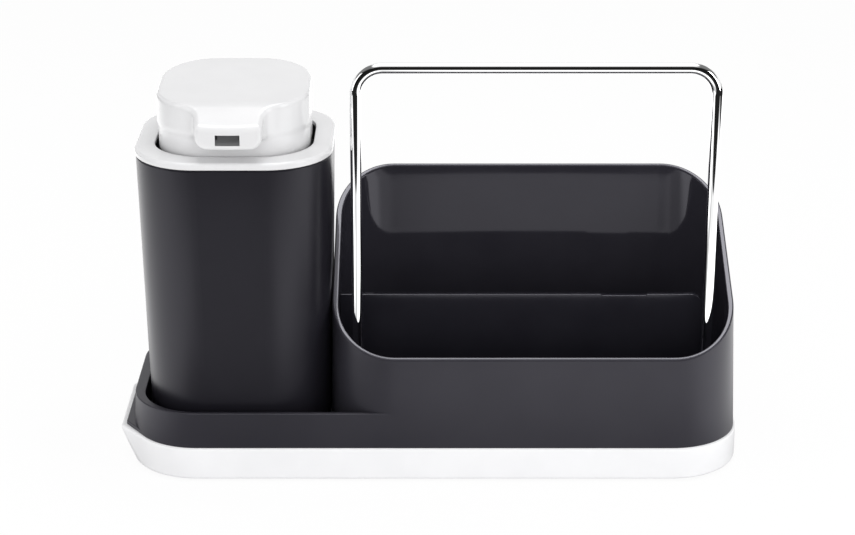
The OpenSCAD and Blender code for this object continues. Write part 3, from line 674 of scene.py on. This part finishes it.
# Divider: a flat charcoal plate that drops in behind the rail's legs, between two low ribs on
# the floor. It comes close to the left wall and stops short of the right one, where its corner
# is round, and its top edge has a shallow step.
divider_top, divider_foot = floor_z + 50.6, floor_z + 0.2
dip_mid = basket_mid + (divider_right - divider_left) / 4
turn = np.radians(np.linspace(0, 90, 9))
divider_r, dip = 4.5, 0.5
top_edge = [(divider_right - divider_r + divider_r * math.cos(a),
             divider_top - divider_r + divider_r * math.sin(a)) for a in turn]
top_edge += [(dip_mid + 9.5, divider_top), (dip_mid + 9.2, divider_top - dip),
             (dip_mid - 9.2, divider_top - dip), (dip_mid - 9.5, divider_top)]
plate = [(divider_left, divider_foot), (divider_right, divider_foot)]
plate += top_edge + [(divider_left, divider_top)]
mesh = bpy.data.meshes.new("divider_board")
count = len(plate)
corners = [(x * mm, y * mm, z * mm)
           for y in (divider_y - 1.2, divider_y + 1.2) for x, z in plate]
faces = [tuple(range(count)), tuple(reversed(range(count, 2 * count)))]
faces += [((i + 1) % count, i, i + count, (i + 1) % count + count) for i in range(count)]
mesh.from_pydata(corners, [], faces)
divider = set_in_scene("divider_board", mesh)
step = divider.modifiers.new("edges", "BEVEL")
step.width, step.segments = 0.0003, 3
step.limit_method, step.angle_limit = "ANGLE", math.radians(50)
as_mesh(divider)
divider_dark = charcoal("divider_dark", (0.013, 0.0125, 0.017), (0.0165, 0.016, 0.021),
                        satin=0.1, polish=0.1, grain=2600, bump=0.15)
finish(divider, divider_dark, "divider_plate", "divider_dark", "divider")


# Bottle: blow-moulded in charcoal plastic with a satin skin, square with wide round corners and
# a little wider at its mouth. Its base is dished, so that it stands on a ring.
bottle_z, bottle_h = floor_z + 0.2, 114.9
bottle_base, bottle_spread, bottle_r, bottle_wall = 75.2, 4.0, 26.0, 2.2


def bottle_rounds(up, inset=0.0):
    half = (bottle_base + bottle_spread * up / bottle_h) / 2 - inset
    return four(bottle_x - half, bottle_x + half, -half, half, bottle_r - inset)


def bottle_ring(up, inset=0.0):
    return at_height(belt(bottle_rounds(up, inset)), bottle_z + up)


path = [(1.2, 9.0), (1.1, 8.5), (0.6, 8.1), (0.0, 7.6)]
path += [(3 * (1 - math.cos(a)), 3 * (1 - math.sin(a))) for a in np.radians(np.arange(0, 91, 11.25))]
path += [(up, 0) for up in np.linspace(12, 105, 11)]
path += [(bottle_h - 0.8 * (1 - math.sin(a)), 0.8 * (1 - math.cos(a))) for a in quarter]
path += [(bottle_h - 0.4 * (1 - math.sin(a)), bottle_wall - 0.4 * (1 - math.cos(a)))
         for a in quarter[::-2]]
path += [(up, bottle_wall) for up in np.linspace(100, 12, 5)]
path += [(2.6 + 3 * (1 - math.cos(a)), bottle_wall + 3 * (1 - math.sin(a)))
         for a in quarter[::-1]]
bottle = loft("bottle_shell", [bottle_ring(up, inset) for up, inset in path])
bottle_dark = charcoal("bottle_dark", (0.0105, 0.0098, 0.0135), (0.0125, 0.0118, 0.016),
                       satin=0.33, polish=0.33, grain=3000, bump=0.2, sheen=0.34)
finish(bottle, bottle_dark, "dispenser", "bottle_dark", "bottle")


# Collar ring: the white ring on the bottle's mouth, clipped over the pump's deck. Its outer edge
# is round, its top falls a little outwards, and the head works in its opening.
collar_z = bottle_z + bottle_h + 0.2
collar_top = collar_z + 3.1
outer = four(bottle_x - 40, bottle_x + 40, -40, 40, 26.4)
opening = four(bottle_x - 32.1, bottle_x + 32.1, -31.4, 31.4, 21.4)
ledge = four(bottle_x - 38.55, bottle_x + 38.55, -38.55, 38.55, 24.95)
profile = [(outer, -0.3, collar_z), (outer, 0, collar_z + 0.3), (outer, 0, collar_top - 1.5)]
ring_edge, opening_edge, ledge_z = 1.3, 0.5, collar_z + 1.45
profile += [(outer, -ring_edge * (1 - math.cos(a)), collar_top - 0.2 - ring_edge * (1 - math.sin(a)))
            for a in np.radians([15, 30, 45, 60, 75, 90])]
profile += [(opening, opening_edge * (1 - math.cos(a)), collar_top - opening_edge * (1 - math.sin(a)))
            for a in coarse_quarter[::-1]]
profile += [(opening, 0, ledge_z), (ledge, 0, ledge_z), (ledge, 0, collar_z)]
rings = [at_height(belt(grow(shape, by)), z) for shape, by, z in profile]
collar_ring = loft("collar_moulding", rings, closed=True)
pump_white = plastic("pump_white", (0.69, 0.689, 0.697), (0.715, 0.714, 0.722),
                     roughness=0.19, spread=0.05, grain=2800, bump=0.06)
finish(collar_ring, pump_white, "pump", "pump_white", "collar_ring")


# Pump deck, seal, cylinder and cap: the carrier of the pump inside the bottle's mouth, with its
# rubber seal, and the cylinder that its cap clips to the deck. They are bought-in moulded
# parts, and only their finishes are made here.
def dress(node, material):
    """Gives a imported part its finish."""
    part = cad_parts[node]
    paint(part.data, material)


deck_dark = plastic("deck_dark", (0.012, 0.012, 0.013), (0.016, 0.016, 0.018),
                    roughness=0.4, spread=0.1, grain=2600, bump=0.2)
seal_rubber = plastic("seal_rubber", (0.30, 0.30, 0.29), (0.34, 0.34, 0.33),
                      roughness=0.6, spread=0.1, grain=1600, bump=0.3)
pump_natural = plastic("pump_natural", (0.70, 0.69, 0.65), (0.75, 0.74, 0.70),
                       roughness=0.35, spread=0.1, grain=2400, bump=0.15)
dress("pump_deck", deck_dark)
dress("deck_gasket", seal_rubber)
dress("pump_cylinder", pump_natural)
dress("cylinder_cap", pump_natural)


# Dip tube and valve balls: a clear tube cut at a slant, down to the bottle's floor, and two
# ground steel balls, one in the cylinder's cage and one on top of the stem.
tube_clear, ink = blank_material("tube_clear")
spot = ink.add("TexCoord", output="Object")
haze = ink.add("TexNoise", inputs={"Vector": spot, "Scale": 120.0, "Detail": 4.0})
shader = ink.add("BsdfPrincipled", inputs={
    "Base Color": haze.tint((0.84, 0.86, 0.86), (0.90, 0.91, 0.91)), "Roughness": 0.16 + 0.16 * haze,
    "Transmission Weight": 0.55, "IOR": 1.51})
ink.add("OutputMaterial", inputs={"Surface": shader})
dress("dip_tube", tube_clear)

valve_steel, ink = blank_material("valve_steel")
spot = ink.add("TexCoord", output="Object")
drawn = ink.add("TexNoise", inputs={"Vector": spot, "Scale": 900.0, "Detail": 3.0})
shader = ink.add("BsdfPrincipled", inputs={
    "Base Color": drawn.tint((0.52, 0.53, 0.54), (0.62, 0.62, 0.63)), "Metallic": 1.0,
    "Roughness": 0.14 + 0.12 * drawn})
ink.add("OutputMaterial", inputs={"Surface": shader})
dress("inlet_ball", valve_steel)
dress("outlet_ball", valve_steel)


# Return spring: four and a half turns of 0.9 mm steel wire round the stem, between the
# cylinder's cap and the hub under the head.
tree, size = recipe("coil", {"Turns": "Float", "Coil Radius": "Float", "Height": "Float",
                             "Wire Radius": "Float", "Foot": "Vector"})
field = size["Geometry"]
helix = field.add("GeometryNodeCurveSpiral", inputs={
    "Resolution": 40, "Rotations": size["Turns"], "Start Radius": size["Coil Radius"],
    "End Radius": size["Coil Radius"], "Height": size["Height"]})
wire = field.add("GeometryNodeCurvePrimitiveCircle", inputs={
    "Resolution": 12, "Radius": size["Wire Radius"]})
coil = field.add("GeometryNodeCurveToMesh", inputs={
    "Curve": helix, "Profile Curve": wire, "Fill Caps": True})
placed = field.add("GeometryNodeTransform", inputs={"Geometry": coil, "Translation": size["Foot"]})
close_recipe(placed, valve_steel)
low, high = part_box("return_spring")
return_spring = set_in_scene("spring_coil", bpy.data.meshes.new("spring_coil"))
make_by(return_spring, tree, {"Turns": 4.5, "Coil Radius": 0.00634,
                              "Height": high.z - low.z - 0.00092, "Wire Radius": 0.00044,
                              "Foot": (bottle_x * mm, 0, low.z + 0.00046)})
finish(return_spring, valve_steel, "pump", "valve_steel", "return_spring", sharp=60)
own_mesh(return_spring)


# Push head: the white button over the pump, hollow underneath. Its top rises to the back and
# runs out over the spout without an edge, and fillets lead from its front into the spout's
# sides. Its shape is given by how far a point is from it, and the skin is fitted to that.
def outside_round(a, b, r):
    """Where two surfaces meet in an outer corner, rounded by r."""
    return np.minimum(np.maximum(a, b), -r) + np.hypot(np.maximum(a + r, 0), np.maximum(b + r, 0))


def inside_round(a, b, r):
    """Where two surfaces meet in an inner corner, filled by r."""
    return np.maximum(np.minimum(a, b), r) - np.hypot(np.maximum(r - a, 0), np.maximum(r - b, 0))


head_front = collar_top + 20.5
top_slope = math.tan(math.radians(3.4))
fall_start, fall_slope = -25.5, 0.4
spout_front, spout_half, spout_foot = -41.3, 12.95, 140.8


def head_top(x, y):
    """Height of the head's top: a gentle slope, a slight crown, and the fall over the spout."""
    over = np.maximum(fall_start - y, 0)
    fall = np.where(over < 4, over ** 2 / 8, over - 2)
    return head_front + (y + 30) * top_slope - 0.35 * (x / 30) ** 2 - fall_slope * fall


def head_distance(p):
    """Distance in mm from points to the head's outer surface, negative inside."""
    x, y, z = p[..., 0] - bottle_x, p[..., 1], p[..., 2]
    bow = x ** 2 / 420
    a, b = np.abs(x) - 10.7, np.abs(y) + bow - 10.0
    plan = np.hypot(np.maximum(a, 0), np.maximum(b, 0)) + np.minimum(np.maximum(a, b), 0) - 20.0
    sides = np.abs(x) - spout_half - 0.09 * np.clip(y - spout_front, 0, 16)
    front = spout_front - y + x ** 2 / 150
    tongue = outside_round(outside_round(sides, spout_foot - z, 4.5), front, 1.4)
    root = inside_round(plan, outside_round(sides, front, 1.4), 4.6)
    root = outside_round(root, spout_foot + 1.0 - z, 3.0)
    wall = inside_round(plan, np.maximum(np.minimum(tongue, root), y + 12), 1.5)
    slope = np.hypot(1, fall_slope * np.clip((fall_start - y) / 4, 0, 1))
    return outside_round(wall, (z - head_top(x, y)) / slope, 1.8)


def fitted_skin(name, distance, low, high, pitch):
    """Closed skin of quads at distance 0 inside a box, one corner for each cell it passes."""
    axes = [np.arange(a, b + pitch, pitch) for a, b in zip(low, high)]
    grid = np.stack(np.meshgrid(*axes, indexing="ij"), -1)
    value = distance(grid)
    value[[0, -1]] = value[:, [0, -1]] = value[:, :, [0, -1]] = 1.0
    cells = [n - 1 for n in value.shape]
    corners = [(i, j, k) for i in (0, 1) for j in (0, 1) for k in (0, 1)]

    def part(corner):
        return tuple(slice(c, c + n) for c, n in zip(corner, cells))

    solid = np.stack([value[part(c)] < 0 for c in corners])
    mixed = solid.any(0) & ~solid.all(0)
    number = -np.ones(cells, int)
    number[mixed] = np.arange(mixed.sum())
    total, hits = np.zeros((mixed.sum(), 3)), np.zeros(mixed.sum())
    for m, a in enumerate(corners):
        for b in corners[m + 1:]:
            if sum(abs(a[i] - b[i]) for i in range(3)) == 1:
                va, vb = value[part(a)][mixed], value[part(b)][mixed]
                cross = (va < 0) != (vb < 0)
                t = np.where(cross, va / np.where(cross, va - vb, 1), 0)[:, None]
                pa, pb = grid[part(a)][mixed], grid[part(b)][mixed]
                total += np.where(cross[:, None], pa + (pb - pa) * t, 0)
                hits += cross
    points = total / hits[:, None]
    for _ in range(3):
        here = distance(points)
        nudge = np.stack([(distance(points + 1e-3 * np.eye(3)[i]) - here) / 1e-3 for i in range(3)], 1)
        points = points - nudge * (here / np.maximum((nudge ** 2).sum(1), 0.2))[:, None]
    faces = []
    inner = value < 0
    for axis in range(3):
        u, v = (axis + 1) % 3, (axis + 2) % 3
        ahead = [slice(None)] * 3
        ahead[axis] = slice(1, None)
        back = [slice(None)] * 3
        back[axis] = slice(None, -1)
        change = inner[tuple(back)] != inner[tuple(ahead)]
        spots = np.argwhere(change)
        leaving = inner[tuple(back)][change]
        ring = []
        for du, dv in ((-1, -1), (0, -1), (0, 0), (-1, 0)):
            at = spots.copy()
            at[:, u] += du
            at[:, v] += dv
            ring.append(number[tuple(at.T)])
        ring = np.stack(ring, 1)
        ring[~leaving] = ring[~leaving][:, ::-1]
        faces.append(ring)
    mesh = bpy.data.meshes.new(name)
    mesh.from_pydata((points * mm).tolist(), [], np.concatenate(faces).tolist())
    return set_in_scene(name, mesh)


skirt_z = collar_top - 1.9
pump_head = fitted_skin("head_moulding", head_distance,
                        (bottle_x - 33, -44, 128), (bottle_x + 33, 32, 161), 0.6)
below = puck("below", four(bottle_x - 50, bottle_x + 50, -60, 60, 5), 110, skirt_z, steps=4)
join_or_cut(pump_head, below, "DIFFERENCE")


def hollow_outline(inset=0.0):
    half = 28.7
    return belt(four(bottle_x - half + inset, bottle_x + half - inset,
                     -28 + inset, 28 - inset, 18.5 - inset))


def hollow_ring(inset, drop):
    outline = hollow_outline(inset)
    return at_height(outline, head_front + (outline[:, 1] + 30) * top_slope - drop)


hollow = [at_height(hollow_outline(), skirt_z - 2)]
hollow += [hollow_ring(1 - math.cos(a), 2.1 + 1 - math.sin(a)) for a in coarse_quarter]
join_or_cut(pump_head, loft("hollow", hollow), "DIFFERENCE")
slot_z = 144.9
passage = four(bottle_x - 6.2, bottle_x + 6.2, -39.3, -27, 0.3)
join_or_cut(pump_head, puck("passage", passage, slot_z - 3.9, slot_z + 3.9, steps=3), "DIFFERENCE")
mouth = four(bottle_x - 5.0, bottle_x + 4.7, -44, -38.5, 0.1)
join_or_cut(pump_head, puck("mouth", mouth, slot_z - 2.15, slot_z + 2.15, steps=3), "DIFFERENCE")
finish(pump_head, pump_white, "push_head", "pump_white", "pump_head")


# Outlet lip: a soft silicone flap behind the mouth that keeps the last drop in. Its face is
# hollow, deep at the top and coming forward to the mouth's lower edge.
face = ((-2.0, -41.0), (-1.7, -40.9), (-1.2, -40.4), (-0.6, -39.5),
        (0.0, -38.9), (0.6, -38.5), (1.3, -38.2), (2.0, -38.1))
flap = [at_height(belt(four(bottle_x - 4.9, bottle_x + 4.6, y, -37.0, 0.1), 3), slot_z + up)
        for up, y in face]
outlet_lip = loft("flap_moulding", flap)
lip_silicone = plastic("lip_silicone", (0.10, 0.10, 0.103), (0.13, 0.13, 0.133),
                       roughness=0.45, spread=0.1, grain=1500, bump=0.2)
finish(outlet_lip, lip_silicone, "push_head", "lip_silicone", "outlet_lip")


# Duct, stem and cup: what carries the soap from the cylinder to the mouth, inside the head. They
# are bought-in moulded parts too, in black plastic, natural plastic and rubber.
dress("spout_duct", deck_dark)
dress("piston_stem", pump_natural)
dress("piston_cup", seal_rubber)
